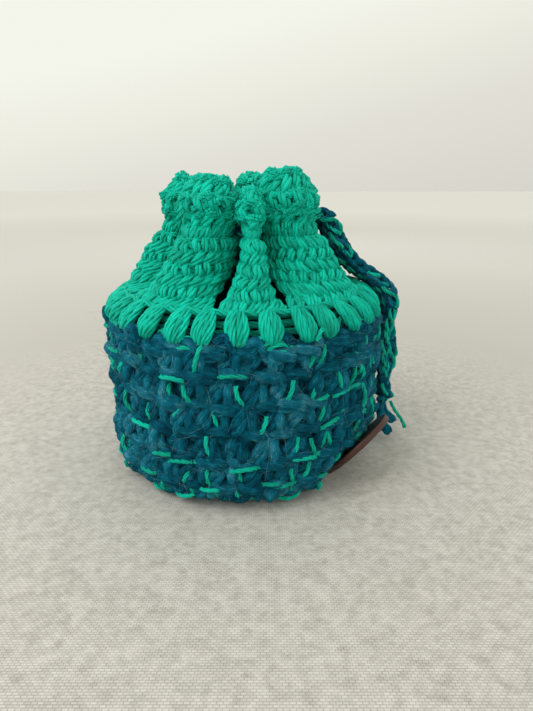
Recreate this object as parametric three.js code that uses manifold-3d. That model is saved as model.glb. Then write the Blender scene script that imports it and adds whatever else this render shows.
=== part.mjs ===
// Crocheted drawstring dice bag, millimetres, +Z up, front of the bag towards -Y.
// A round thick-wool body is worked in rounds from the middle of its base. A ring of long
// puff stitches joins it to a fine cotton collar, which the drawstring gathers into seven
// pleats under a ruffle. Each soft piece is a plain solid of its true size and place.
// An azimuth is measured from the front (-Y) towards the right (+X).

import * as THREE from 'three';
import { mergeVertices } from 'three/addons/utils/BufferGeometryUtils.js';
import Module from 'manifold-3d';

const wasm = await Module();
wasm.setup();

// Driving dimensions
const GAP = 0.3; // between touching pieces
const BODY_RADIUS = 42.2; // outside of the wool wall at its fullest
const FOOT_RADIUS = 31.5; // flat ring that the bag stands on
const TURN_HEIGHT = 19.9; // height where the rounded foot becomes the upright wall
const TURN_POWER = 2.6; // squareness of that rounding
const WOOL_THICKNESS = 7; // fabric worked with two strands held together
const WOOL_ROUND = 8.1; // height of one wool round
const WALL_ROUNDS = 6;
const FOOT_SHIFT = 2.6; // the soft foot settles this far to the left
const RIM_HEIGHT = WOOL_ROUND * WALL_ROUNDS;
const PUFF_COUNT = 31;
const PUFF_TOP = 54.7;
const COLLAR_BASE = 55;
const NECK_BASE = 71;
const NECK_TOP = 76;
const COTTON_THICKNESS = 1.6;
const CORD_DIAMETER = 4.6;
const LOOP_RADIUS = 15; // drawstring loop inside the gathered neck
const LOOP_HEIGHT = 73.5;
const YARN_DIAMETER = 3.4; // wool strand of a tail
const COTTON_DIAMETER = 2; // cotton strand of a tail
const BUTTON_RADIUS = 12.5;
const BUTTON_THICKNESS = 1.8;
const BUTTON_CENTRE = { azimuth: 61, radius: 39.3, height: 10.3 };
const BUTTON_TILT = 40; // the button's face looks this far below level

// Each pleat runs between two valleys: azimuths, valley radii at the neck, ruffle height.
// A power above the usual one widens the valley at that end, where the drawstring comes out.
const LOBE_POWER = 0.45;
const PLEATS = [
  { from: -64, to: -6, deepFrom: 8, deepTo: 9, top: 87.5 },
  { from: -6, to: 22, deepFrom: 9, deepTo: 9, top: 84.5 },
  { from: 22, to: 98, deepFrom: 9, deepTo: 9, top: 89.3, powerTo: 1.3 },
  { from: 98, to: 146, deepFrom: 9, deepTo: 8, top: 87, powerFrom: 1.8 },
  { from: 146, to: 196, deepFrom: 8, deepTo: 8, top: 88 },
  { from: 196, to: 246, deepFrom: 8, deepTo: 8, top: 86.5 },
  { from: 246, to: 296, deepFrom: 8, deepTo: 8, top: 87.5 },
];

const COLOURS = {
  wool: { color: 0x2c6178, roughness: 0.95 },
  cotton: { color: 0x12a888, roughness: 0.7 },
  cord: { color: 0x2a6f7c, roughness: 0.9 },
  shell: { color: 0x5a3320, roughness: 0.5 },
};

const group = new THREE.Group();

function add(name, geometry, look) {
  const material = new THREE.MeshStandardMaterial({ ...COLOURS[look], metalness: 0 });
  const mesh = new THREE.Mesh(geometry, material);
  mesh.name = name;
  group.add(mesh);
  return mesh;
}

// A geometry with only positions and shared corners, as a boolean needs it
function welded(geometry) {
  const plain = geometry.clone();
  plain.deleteAttribute('normal');
  plain.deleteAttribute('uv');
  return mergeVertices(plain, 1e-4);
}

function solid(geometry) {
  const closed = welded(geometry);
  return new wasm.Manifold(new wasm.Mesh({
    numProp: 3,
    vertProperties: new Float32Array(closed.attributes.position.array),
    triVerts: new Uint32Array(closed.index.array),
  }));
}

function geometryOf(manifold) {
  const mesh = manifold.getMesh();
  const geometry = new THREE.BufferGeometry();
  geometry.setAttribute('position', new THREE.BufferAttribute(mesh.vertProperties, 3));
  geometry.setIndex(new THREE.BufferAttribute(mesh.triVerts, 1));
  geometry.computeVertexNormals();
  return geometry;
}

const radians = THREE.MathUtils.degToRad;

// Point at an azimuth in degrees, a distance from the axis and a height
function around(azimuth, radius, height) {
  const angle = radians(azimuth);
  return new THREE.Vector3(radius * Math.sin(angle), -radius * Math.cos(angle), height);
}

// ---- Wool body ----

// Outside of the wool at a height, before any stitch relief
function bodyRadius(height) {
  const rise = Math.min(Math.max(height / TURN_HEIGHT, 0), 1);
  const share = (1 - (1 - rise) ** TURN_POWER) ** (1 / TURN_POWER);
  return FOOT_RADIUS + (BODY_RADIUS - FOOT_RADIUS) * share;
}

// The foot sits a little to the left of the rim
function footShift(height) {
  const rise = Math.min(height / TURN_HEIGHT, 1);
  return -FOOT_SHIFT * (1 - rise) ** 2;
}

const RING_SIDES = 32;

function ring(profile) {
  const points = profile.map(([radius, height]) => new THREE.Vector2(radius, height));
  points.push(points[0]);
  const lathe = new THREE.LatheGeometry(points, RING_SIDES);
  lathe.rotateX(Math.PI / 2);
  return lathe;
}

// Base: a small disc, then rounds that each grow by six stitches
const BASE_ROUND_WIDTH = 5.8;
const BASE_START = 6;
const BASE_ROUNDS = 4;

add('base_centre', new THREE.CylinderGeometry(
  BASE_START, BASE_START, WOOL_THICKNESS, 18,
).rotateX(Math.PI / 2).translate(footShift(0), 0, WOOL_THICKNESS / 2), 'wool');

for (let count = 0; count < BASE_ROUNDS; count += 1) {
  const inner = BASE_START + GAP + count * BASE_ROUND_WIDTH;
  const outer = inner + BASE_ROUND_WIDTH - GAP;
  const profile = [[inner, 0], [outer, 0], [outer, WOOL_THICKNESS], [inner, WOOL_THICKNESS]];
  add(`base_round_${count + 2}`, ring(profile).translate(footShift(0), 0, 0), 'wool');
}

// The button lies on a pressed flat in the foot
const buttonNormal = around(BUTTON_CENTRE.azimuth, Math.cos(radians(BUTTON_TILT)), 0);
buttonNormal.z = -Math.sin(radians(BUTTON_TILT));
const buttonCentre = around(BUTTON_CENTRE.azimuth, BUTTON_CENTRE.radius, BUTTON_CENTRE.height);
const buttonTurn = new THREE.Quaternion().setFromUnitVectors(
  new THREE.Vector3(0, 1, 0), buttonNormal,
);

function facingButton(geometry, along) {
  geometry.applyQuaternion(buttonTurn);
  const place = buttonCentre.clone().addScaledVector(buttonNormal, along);
  return geometry.translate(place.x, place.y, place.z);
}

// Fabric that would reach into the button is pushed back level, so that rounds stay apart
const pushBack = around(BUTTON_CENTRE.azimuth, -1 / Math.cos(radians(BUTTON_TILT)), 0);
const seatLimit = buttonCentre.dot(buttonNormal) - BUTTON_THICKNESS / 2 - GAP;

function pressed(geometry) {
  const position = geometry.attributes.position;
  const point = new THREE.Vector3();
  for (let index = 0; index < position.count; index += 1) {
    point.fromBufferAttribute(position, index);
    const beyond = Math.max(0, point.dot(buttonNormal) - seatLimit);
    point.addScaledVector(pushBack, beyond);
    position.setXYZ(index, point.x, point.y, point.z);
  }
  return geometry;
}

const PROFILE_STEPS = 3;
const baseEdge = BASE_START + BASE_ROUNDS * BASE_ROUND_WIDTH + GAP;

for (let round = 0; round < WALL_ROUNDS; round += 1) {
  const low = round === 0 ? 0 : round * WOOL_ROUND + GAP / 2;
  const high = (round + 1) * WOOL_ROUND - GAP / 2;
  const profile = [];
  for (let step = 0; step <= PROFILE_STEPS; step += 1) {
    const height = low + (high - low) * step / PROFILE_STEPS;
    profile.push([bodyRadius(height), height]);
  }
  profile.push([BODY_RADIUS - WOOL_THICKNESS, high]);
  if (round === 0) {
    profile.push([BODY_RADIUS - WOOL_THICKNESS, WOOL_THICKNESS]);
    profile.push([baseEdge, WOOL_THICKNESS]);
    profile.push([baseEdge, 0]);
  } else {
    profile.push([BODY_RADIUS - WOOL_THICKNESS, low]);
  }
  if (round === WALL_ROUNDS - 1) {
    // the puff stitches dip over the outside of the last round
    profile[PROFILE_STEPS - 1][0] -= 1.9;
    profile[PROFILE_STEPS][0] -= 2.4;
  }
  const geometry = ring(profile).translate(footShift(low), 0, 0);
  add(`wall_round_${round + 1}`, pressed(geometry), 'wool');
}

// ---- Puff stitches: long loops that reach down into the last wool round ----

const PUFF_SIZE = { across: 3.1, deep: 1.4, long: 4.6 };
const PUFF_TILT = -40; // degrees that each puff leans in towards the neck
const PUFF_MIDDLE = { radius: 39, aboveRim: 2.2 };
const BAND = { inside: 33.8, foot: 40.2, top: 36.2 }; // radii of the wall behind the puffs
const bandProfile = [
  [BAND.inside, RIM_HEIGHT + GAP / 2], [BAND.foot, RIM_HEIGHT + GAP / 2],
  [BAND.top, PUFF_TOP], [BAND.inside, PUFF_TOP],
];
let puffs = solid(ring(bandProfile));
for (let count = 0; count < PUFF_COUNT; count += 1) {
  const puff = new THREE.SphereGeometry(1, 6, 3);
  puff.scale(PUFF_SIZE.across, PUFF_SIZE.deep, PUFF_SIZE.long);
  puff.rotateX(radians(PUFF_TILT));
  puff.translate(0, -PUFF_MIDDLE.radius, RIM_HEIGHT + PUFF_MIDDLE.aboveRim);
  puff.rotateZ(radians((360 * count) / PUFF_COUNT));
  puffs = puffs.add(solid(puff));
}
add('puff_stitch_round', geometryOf(puffs), 'cotton');

// ---- Gathered collar, neck and ruffle ----

// Crest and valley of the pleats as heights rise, as smooth curves through [height, radius]
function curveThrough(pairs) {
  return (height) => {
    let index = 0;
    while (index < pairs.length - 2 && height > pairs[index + 1][0]) {
      index += 1;
    }
    const [low, start] = pairs[index];
    const [high, end] = pairs[index + 1];
    const share = Math.min(Math.max((height - low) / (high - low), 0), 1);
    return start + (end - start) * share;
  };
}

const crest = curveThrough([[55, 35.6], [60, 32.6], [66, 29], [71, 25.4], [76, 22.8], [81, 23], [90, 19.5]]);
// 1 at the foot of the collar, where there is no fold yet, and 0 in the gathered neck
const unfolded = curveThrough([[55, 0.97], [58, 0.62], [63, 0.2], [71, 0.03], [76, 0], [90, 0.1]]);

// Outside of a pleat: share runs from one valley to the next
function pleatOutside(pleat, share, height) {
  const power = share < 0.5 ? pleat.powerFrom : pleat.powerTo;
  const swell = Math.sin(Math.PI * share) ** (power ?? LOBE_POWER);
  const deep = pleat.deepFrom + (pleat.deepTo - pleat.deepFrom) * share;
  const open = unfolded(height);
  const top = crest(height);
  const valley = deep + (top - deep) * open;
  const radius = valley + (top - valley) * swell;
  const point = around(pleat.from + (pleat.to - pleat.from) * share, radius, height);
  const middle = radians((pleat.from + pleat.to) / 2);
  const aside = GAP * Math.cos(Math.PI * share);
  return point.add(new THREE.Vector3(Math.cos(middle), Math.sin(middle), 0).multiplyScalar(aside));
}

// The same surface moved in by a depth, square to the fold
function pleatPoint(pleat, share, height, depth) {
  const small = 0.002;
  const inside = Math.min(Math.max(share, small), 1 - small);
  const before = pleatOutside(pleat, inside - small, height);
  const after = pleatOutside(pleat, inside + small, height);
  const along = after.sub(before).normalize();
  const inward = new THREE.Vector3(-along.y, along.x, 0);
  return pleatOutside(pleat, share, height).addScaledVector(inward, depth);
}

const PLEAT_STEPS = 10;
const BAND_STEPS = 7;

// A block bent onto the pleat: x runs along the fold, y through the fabric, z up
function bentStrip(pleat, from, to, low, high, across, upward, thickness = COTTON_THICKNESS) {
  const block = new THREE.BoxGeometry(1, 1, 1, across, 1, upward);
  const position = block.attributes.position;
  for (let index = 0; index < position.count; index += 1) {
    const run = position.getX(index) + 0.5;
    const depth = (position.getY(index) + 0.5) * thickness;
    const share = from + (to - from) * (1 - Math.cos(Math.PI * run)) / 2;
    const height = low + (high(share) - low) * (position.getZ(index) + 0.5);
    const point = pleatPoint(pleat, share, height, depth);
    position.setXYZ(index, point.x, point.y, point.z);
  }
  return welded(block);
}

const POSTS = 4;
const POST_WIDTH = 0.09;
const BAND_HEIGHT = 1;
const BAND_OVERLAP = 0.2;

PLEATS.forEach((pleat, index) => {
  const number = index + 1;
  const level = (height) => () => height;
  add(`collar_pleat_${number}`,
    bentStrip(pleat, 0, 1, COLLAR_BASE, level(NECK_BASE - GAP), PLEAT_STEPS, 4), 'cotton');

  // Tall stitches with gaps between them, which the drawstring is threaded through
  const lowBand = level(NECK_BASE + BAND_HEIGHT);
  let posts = solid(bentStrip(pleat, 0, 1, NECK_BASE, lowBand, BAND_STEPS, 1));
  posts = posts.add(solid(
    bentStrip(pleat, 0, 1, NECK_TOP - BAND_HEIGHT, level(NECK_TOP), BAND_STEPS, 1),
  ));
  for (let post = 0; post < POSTS; post += 1) {
    const middle = (post + 0.5) / POSTS;
    const low = NECK_BASE + BAND_HEIGHT - BAND_OVERLAP;
    const high = level(NECK_TOP - BAND_HEIGHT + BAND_OVERLAP);
    const from = middle - POST_WIDTH / 2;
    posts = posts.add(solid(bentStrip(pleat, from, from + POST_WIDTH, low, high, 1, 1)));
  }
  add(`eyelet_posts_${number}`, geometryOf(posts), 'cotton');

  const edge = (share) => pleat.top - 2.5 + 2.5 * Math.sin(Math.PI * share);
  add(`ruffle_${number}`, bentStrip(pleat, 0, 1, NECK_TOP + GAP, edge, PLEAT_STEPS, 3), 'cotton');
});

// ---- Drawstring ----

const CORD_SIDES = 8;

function rope(points, diameter, steps) {
  const section = new THREE.Shape();
  section.absarc(0, 0, diameter / 2, 0, Math.PI * 2);
  const path = new THREE.CatmullRomCurve3(points);
  return new THREE.ExtrudeGeometry(section, {
    steps, extrudePath: path, curveSegments: CORD_SIDES / 2, bevelEnabled: false,
  });
}

// Inside each pleat an arc of the loop that closes the neck. It stops short of the fabric
// at both ends, where the real cord passes through an eyelet into the next pleat.
const WALL_ANGLE = THREE.MathUtils.radToDeg((COTTON_THICKNESS + 5 * GAP) / LOOP_RADIUS);

// Angle from a valley to where the fold stands at a distance from the axis
function foldAngle(pleat, deep, power, radius) {
  const swell = (radius - deep) / (crest(LOOP_HEIGHT) - deep);
  return (pleat.to - pleat.from) * Math.asin(swell ** (1 / power)) / Math.PI;
}

function arcSetback(pleat, deep, power = LOBE_POWER) {
  const outerEdge = LOOP_RADIUS + CORD_DIAMETER / 2 + COTTON_THICKNESS + GAP;
  const atCord = foldAngle(pleat, deep, power, LOOP_RADIUS) + WALL_ANGLE;
  return Math.max(atCord, foldAngle(pleat, deep, power, outerEdge));
}

PLEATS.forEach((pleat, index) => {
  const start = pleat.from + arcSetback(pleat, pleat.deepFrom, pleat.powerFrom);
  const end = pleat.to - arcSetback(pleat, pleat.deepTo, pleat.powerTo);
  const points = [0, 1 / 3, 2 / 3, 1].map(
    (share) => around(start + (end - start) * share, LOOP_RADIUS, LOOP_HEIGHT),
  );
  add(`drawstring_arc_${index + 1}`, rope(points, CORD_DIAMETER, 3), 'cord');
});

// The free legs leave the neck through the wide valley on the right
const EXIT_AZIMUTH = 98;

// Distance from the axis, offset towards the back, height
function cordPoint([radius, aside, height]) {
  const sideways = radians(EXIT_AZIMUTH);
  const point = around(EXIT_AZIMUTH, radius, height);
  return point.add(new THREE.Vector3(Math.cos(sideways), Math.sin(sideways), 0)
    .multiplyScalar(aside));
}

const LEG_A = [
  [19, -2.4, 76], [22, -2.6, 76.6], [25, -2.9, 74.6], [27.8, -3.2, 70.6], [30.8, -3.4, 65.8],
  [34.8, -3.6, 61.4], [39.8, -3.8, 58], [44.4, -4, 54.4], [46.6, -4, 49.6], [46.2, -3.4, 44],
  [45.6, -3, 38], [45.6, -2.8, 32], [46, -2.6, 26], [46.8, -2.4, 21.4],
];
const LEG_B = [
  [19, 2.4, 75.4], [22, 2.6, 75.8], [24.6, 2.9, 73.6], [27.2, 3, 69.4], [30.4, 3, 64.4],
  [34.6, 3, 60], [39.4, 2.8, 56.8], [44.2, 2.4, 52.4], [47, 2.2, 46.6], [48.6, 2.2, 40],
  [49.8, 2.2, 33.4], [50, 2.2, 27.2], [48.6, 2.4, 22],
];
add('drawstring_leg_a', rope(LEG_A.map(cordPoint), CORD_DIAMETER, 22), 'cord');
add('drawstring_leg_b', rope(LEG_B.map(cordPoint), CORD_DIAMETER, 22), 'cord');

// Both legs end in one overhand knot
const KNOT = { radius: 48, aside: 0, height: 16.4, across: 4.6, deep: 4.2, tall: 3.6 };
const knotPlace = cordPoint([KNOT.radius, KNOT.aside, KNOT.height]);
const knot = new THREE.SphereGeometry(1, 10, 8);
knot.rotateX(Math.PI / 2);
knot.scale(KNOT.deep, KNOT.across, KNOT.tall);
knot.rotateZ(radians(EXIT_AZIMUTH - 90));
knot.translate(knotPlace.x, knotPlace.y, knotPlace.z);
add('drawstring_knot', knot, 'cord');

// Below the knot the strands part: wool and cotton from each end
const TAILS = {
  wool_tail_a: {
    diameter: YARN_DIAMETER,
    points: [[46.4, -2.4, 12.4], [46.6, -2.8, 8.6], [47.6, -3.4, 5], [50, -4, 2.6]],
  },
  wool_tail_b: {
    diameter: YARN_DIAMETER,
    points: [[48.4, 2, 12.4], [49.4, 2.8, 8.6], [51.6, 3.4, 5.2], [54.6, 3.6, 3.4]],
  },
  cotton_tail_a: {
    diameter: COTTON_DIAMETER,
    points: [[50, -2, 12.6], [51.6, -2.8, 10.4], [53.8, -3.4, 7.4], [55.4, -4, 4.2]],
  },
  cotton_tail_b: {
    diameter: COTTON_DIAMETER,
    points: [[45.1, 2.4, 12.8], [45, 3.2, 9.2], [45.2, 4.6, 5.8], [46, 6, 2.6]],
  },
};
Object.entries(TAILS).forEach(([name, tail]) => {
  add(name, rope(tail.points.map(cordPoint), tail.diameter, 6), 'cord');
});

// ---- Button and the thread that holds it ----

const HOLE_RADIUS = 1.3;
const HOLE_SPACING = 2.6;
const disc = solid(new THREE.CylinderGeometry(BUTTON_RADIUS, BUTTON_RADIUS, BUTTON_THICKNESS, 36));
const hole = (side) => solid(new THREE.CylinderGeometry(HOLE_RADIUS, HOLE_RADIUS, 5, 10)
  .translate(side * HOLE_SPACING, 0, 0));
add('button', facingButton(geometryOf(disc.subtract(hole(-1)).subtract(hole(1))), 0), 'shell');

const THREAD_RADIUS = 0.6;
const THREAD_RISE = BUTTON_THICKNESS / 2 + GAP;
const bridge = new THREE.CylinderGeometry(THREAD_RADIUS, THREAD_RADIUS, 2 * HOLE_SPACING + 1.4, 8)
  .rotateZ(Math.PI / 2).translate(0, THREAD_RISE + THREAD_RADIUS, 0);
const leg = (side) => solid(new THREE.CylinderGeometry(
  THREAD_RADIUS, THREAD_RADIUS, BUTTON_THICKNESS + GAP + THREAD_RADIUS, 8,
).translate(side * HOLE_SPACING, THREAD_RISE / 2 + THREAD_RADIUS / 2, 0));
const thread = solid(bridge).add(leg(-1)).add(leg(1));
add('button_thread', facingButton(geometryOf(thread), 0), 'cotton');

export default group;
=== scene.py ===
import math

import bpy
import numpy as np
from mathutils import Matrix, Vector


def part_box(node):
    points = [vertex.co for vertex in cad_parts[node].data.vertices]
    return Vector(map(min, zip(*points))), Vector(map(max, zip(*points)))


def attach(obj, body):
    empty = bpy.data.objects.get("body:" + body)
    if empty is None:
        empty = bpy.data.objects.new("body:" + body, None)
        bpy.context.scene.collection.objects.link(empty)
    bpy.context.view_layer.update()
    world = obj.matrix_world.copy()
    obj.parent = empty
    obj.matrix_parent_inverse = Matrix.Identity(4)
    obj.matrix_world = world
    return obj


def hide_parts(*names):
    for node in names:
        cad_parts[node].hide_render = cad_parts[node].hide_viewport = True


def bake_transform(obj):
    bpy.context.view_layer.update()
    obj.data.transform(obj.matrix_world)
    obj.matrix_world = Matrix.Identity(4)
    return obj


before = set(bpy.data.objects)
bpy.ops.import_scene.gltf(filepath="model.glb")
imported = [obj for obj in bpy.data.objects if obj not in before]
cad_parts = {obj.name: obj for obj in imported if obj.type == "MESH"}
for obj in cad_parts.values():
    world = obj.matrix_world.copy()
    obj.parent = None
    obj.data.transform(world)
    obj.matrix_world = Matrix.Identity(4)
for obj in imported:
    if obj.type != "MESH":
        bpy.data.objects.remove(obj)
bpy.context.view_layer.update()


# ---- Viewpoint, light and table ----
# The bag stands on a pale woven cloth. Lengths are millimetres in what follows and
# become metres where a mesh is made. Azimuths run from the front (-Y) to the right (+X).

MM = 0.001
rng = np.random.default_rng(20)

camera_lens = bpy.data.cameras.new("camera")
camera_lens.sensor_fit = "VERTICAL"
camera_lens.sensor_height = 36
camera_lens.lens = 26
camera_lens.clip_start = 0.005
camera = bpy.data.objects.new("camera", camera_lens)
camera.location = (0.007, -0.1575, 0.0872)
camera.rotation_euler = (math.radians(90 - 19.3), 0, 0)
bpy.context.scene.collection.objects.link(camera)
bpy.context.scene.camera = camera


def linear(red, green, blue):
    """A screen colour, 0 to 255, as the linear colour that shaders take."""
    return (*[(part / 255) ** 2.2 for part in (red, green, blue)], 1.0)


def soft_light(name, place, size, power, colour):
    """A square lamp that faces the middle of the bag."""
    lamp = bpy.data.lights.new(name, "AREA")
    lamp.size = size
    lamp.energy = power
    lamp.color = colour
    holder = bpy.data.objects.new(name, lamp)
    holder.location = place
    aim = Vector((0, 0, 0.045)) - Vector(place)
    holder.rotation_euler = aim.to_track_quat("-Z", "Y").to_euler()
    bpy.context.scene.collection.objects.link(holder)


soft_light("window_light", (-0.34, -0.26, 0.5), 0.34, 1.9, (1.0, 0.99, 0.98))
soft_light("fill_light", (0.45, -0.3, 0.3), 0.5, 0.25, (0.97, 0.98, 1.0))
soft_light("back_light", (0.05, 0.5, 0.4), 0.5, 0.4, (1.0, 1.0, 1.0))
bpy.context.scene.view_settings.view_transform = "Standard"


def place(tree, kind, sockets=(), **settings):
    """Adds a node, sets its properties, and links or fills its inputs."""
    node = tree.nodes.new(kind)
    for name, value in settings.items():
        setattr(node, name, value)
    for name, value in dict(sockets).items():
        if isinstance(value, bpy.types.NodeSocket):
            tree.links.new(value, node.inputs[name])
        else:
            node.inputs[name].default_value = value
    return node


def new_material(name, **values):
    """A material and its Principled shader, with the values that are the same all over."""
    material = bpy.data.materials.new(name)
    material.use_nodes = True
    shader = material.node_tree.nodes["Principled BSDF"]
    for socket, value in values.items():
        shader.inputs[socket.replace("_", " ")].default_value = value
    return material, shader


def colour_steps(tree, factor, steps):
    """A colour ramp over factor, from (position, colour) pairs."""
    ramp = place(tree, "ShaderNodeValToRGB", {"Fac": factor})
    while len(ramp.color_ramp.elements) < len(steps):
        ramp.color_ramp.elements.new(0.5)
    for element, (position, colour) in zip(ramp.color_ramp.elements, steps):
        element.position = position
        element.color = colour
    return ramp.outputs["Color"]


# A pale room, brightest up on the left
room = bpy.data.worlds.new("room")
room.use_nodes = True
tree = room.node_tree
way = place(tree, "ShaderNodeSeparateXYZ",
            {0: place(tree, "ShaderNodeTexCoord").outputs["Generated"]}).outputs
raised = place(tree, "ShaderNodeMath", {0: way["Z"], 1: 0.5, 2: 0.5}, operation="MULTIPLY_ADD")
sided = place(tree, "ShaderNodeMath", {0: way["X"], 1: -0.12, 2: raised.outputs[0]},
              operation="MULTIPLY_ADD")
wall_colour = colour_steps(tree, sided.outputs[0], [
    (0.42, linear(212, 209, 200)), (0.52, linear(225, 223, 213)), (0.62, linear(244, 245, 234)),
])
room_shade = tree.nodes["Background"]
tree.links.new(wall_colour, room_shade.inputs["Color"])
room_shade.inputs["Strength"].default_value = 1.0
bpy.context.scene.world = room

TABLE_SIZE = 6.0
cloth_mesh = bpy.data.meshes.new("table_cloth")
half = TABLE_SIZE / 2
cloth_mesh.from_pydata(
    [(-half, -half, 0), (half, -half, 0), (half, half, 0), (-half, half, 0)], [], [(0, 1, 2, 3)]
)
table_cloth = bpy.data.objects.new("table_cloth", cloth_mesh)
bpy.context.scene.collection.objects.link(table_cloth)
cloth, shader = new_material("pale_cloth", Roughness=0.9)
tree = cloth.node_tree
spot = place(tree, "ShaderNodeTexCoord").outputs["Object"]
radius = place(tree, "ShaderNodeVectorMath", {0: spot}, operation="LENGTH").outputs["Value"]
fade = place(tree, "ShaderNodeMapRange", {0: radius, 1: 0.1, 2: 0.16})
weave = place(tree, "ShaderNodeTexBrick", {
    "Vector": spot, "Scale": 430, "Mortar Size": 0.05, "Color1": (0.5, 0.5, 0.5, 1),
    "Color2": (0.85, 0.85, 0.85, 1), "Mortar": (0.08, 0.08, 0.08, 1), "Mortar Smooth": 0.5,
})
slub = place(tree, "ShaderNodeTexNoise", {"Vector": spot, "Scale": 420, "Detail": 3})
threads = place(tree, "ShaderNodeMix", {
    0: 0.62, 6: weave.outputs["Color"], 7: slub.outputs["Color"],
}, data_type="RGBA")
near = colour_steps(tree, threads.outputs[2], [
    (0.2, linear(142, 138, 131)), (0.66, linear(203, 200, 194)),
])
further = place(tree, "ShaderNodeMapRange", {0: radius, 1: 0.16, 2: 1.2})
behind = colour_steps(tree, further.outputs[0], [
    (0.0, linear(182, 179, 173)), (0.25, linear(204, 201, 196)), (1.0, linear(232, 230, 226)),
])
table_tint = place(tree, "ShaderNodeMix", {0: fade.outputs[0], 6: near, 7: behind},
                   data_type="RGBA")
tree.links.new(table_tint.outputs[2], shader.inputs["Base Color"])
thread_bump = place(tree, "ShaderNodeBump", {"Height": threads.outputs[2], "Strength": 0.25,
                                             "Distance": 0.0003})
tree.links.new(thread_bump.outputs["Normal"], shader.inputs["Normal"])
cloth_mesh.materials.append(cloth)


# ---- Drawstring legs ----
# Two ends of one cord, crocheted as a chain from a wool and a thin cotton strand held
# together. They hang from the gathered neck down the right side to a knot near the foot.


def smooth(points, count):
    """Curves through the points (..., points, 3), with count places along each."""
    points = np.asarray(points, float)
    first = 2 * points[..., :1, :] - points[..., 1:2, :]
    last = 2 * points[..., -1:, :] - points[..., -2:-1, :]
    ends = np.concatenate([first, points, last], axis=-2)
    at = np.linspace(0, points.shape[-2] - 1, count)
    step = np.minimum(at.astype(int), points.shape[-2] - 2)
    t = (at - step)[:, None]
    a, b, c, d = (ends[..., step + shift, :] for shift in range(4))
    return 0.5 * (2 * b + (c - a) * t + (2 * a - 5 * b + 4 * c - d) * t**2
                  + (3 * b - a - 3 * c + d) * t**3)


def unit(vectors):
    """The vectors at length one."""
    return vectors / np.maximum(np.linalg.norm(vectors, axis=-1, keepdims=True), 1e-9)


def yarn_tree():
    """Sweeps every drawn line as a yarn: plies side by side, twisted about the line."""
    tree = bpy.data.node_groups.new("plied_yarn", "GeometryNodeTree")
    kinds = {"Geometry": "Geometry", "Plies": "Int", "Ply Radius": "Float", "Ply Spread": "Float",
             "Twist": "Float", "Sides": "Int", "Material": "Material"}
    for name, kind in kinds.items():
        tree.interface.new_socket(name, in_out="INPUT", socket_type="NodeSocket" + kind)
    tree.interface.new_socket("Geometry", in_out="OUTPUT", socket_type="NodeSocketGeometry")
    given = place(tree, "NodeGroupInput").outputs

    def calc(operation, *values):
        node = place(tree, "ShaderNodeMath", dict(enumerate(values)), operation=operation)
        return node.outputs[0]

    def vector(operation, *values, **scale):
        sockets = {**dict(enumerate(values)), **scale}
        return place(tree, "ShaderNodeVectorMath", sockets, operation=operation).outputs[0]

    lines = place(tree, "GeometryNodeMeshToCurve", {"Mesh": given["Geometry"]})
    plies = place(tree, "GeometryNodeDuplicateElements",
                  {"Geometry": lines.outputs[0], "Amount": given["Plies"]}, domain="SPLINE")
    along = place(tree, "GeometryNodeSplineParameter").outputs["Length"]
    share = calc("DIVIDE", plies.outputs["Duplicate Index"], given["Plies"])
    turn = calc("MULTIPLY_ADD", along, given["Twist"], calc("MULTIPLY", share, 2 * math.pi))
    girth = place(tree, "GeometryNodeInputNamedAttribute", {"Name": "girth"}).outputs["Attribute"]
    normal = place(tree, "GeometryNodeInputNormal").outputs["Normal"]
    tangent = place(tree, "GeometryNodeInputTangent").outputs["Tangent"]
    across = vector("CROSS_PRODUCT", tangent, normal)
    reach = calc("MULTIPLY", given["Ply Spread"], girth)
    one = vector("SCALE", normal, Scale=calc("MULTIPLY", calc("COSINE", turn), reach))
    other = vector("SCALE", across, Scale=calc("MULTIPLY", calc("SINE", turn), reach))
    moved = place(tree, "GeometryNodeSetPosition",
                  {"Geometry": plies.outputs["Geometry"], "Offset": vector("ADD", one, other)})
    marked = place(tree, "GeometryNodeStoreNamedAttribute",
                   {"Geometry": moved.outputs[0], "Name": "along", "Value": along})
    profile = place(tree, "GeometryNodeCurvePrimitiveCircle",
                    {"Resolution": given["Sides"], "Radius": given["Ply Radius"]})
    turned = place(tree, "GeometryNodeSplineParameter").outputs["Factor"]
    ring = place(tree, "GeometryNodeStoreNamedAttribute",
                 {"Geometry": profile.outputs[0], "Name": "round", "Value": turned})
    solid = place(tree, "GeometryNodeCurveToMesh",
                  {"Curve": marked.outputs[0], "Profile Curve": ring.outputs[0], "Scale": girth,
                   "Fill Caps": True})
    real = place(tree, "GeometryNodeRealizeInstances", {"Geometry": solid.outputs[0]})
    coloured = place(tree, "GeometryNodeSetMaterial",
                     {"Geometry": real.outputs[0], "Material": given["Material"]})
    place(tree, "NodeGroupOutput", {"Geometry": coloured.outputs[0]})
    return tree


plied_yarn = yarn_tree()

# Yarns: plies, radius of a ply, distance of its middle from the yarn's, turns, sides.
WOOL = {"Plies": 3, "Ply Radius": 1.12, "Ply Spread": 0.94, "Twist": 360.0, "Sides": 8}
CORD_WOOL = {"Plies": 2, "Ply Radius": 0.72, "Ply Spread": 0.5, "Twist": 700.0, "Sides": 7}
COTTON = {"Plies": 4, "Ply Radius": 0.43, "Ply Spread": 0.55, "Twist": 480.0, "Sides": 5}
THIN_COTTON = {"Plies": 3, "Ply Radius": 0.31, "Ply Spread": 0.34, "Twist": 900.0, "Sides": 6}
FIBRE = {"Plies": 1, "Ply Radius": 0.024, "Ply Spread": 0.0, "Twist": 0.0, "Sides": 3}


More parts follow.
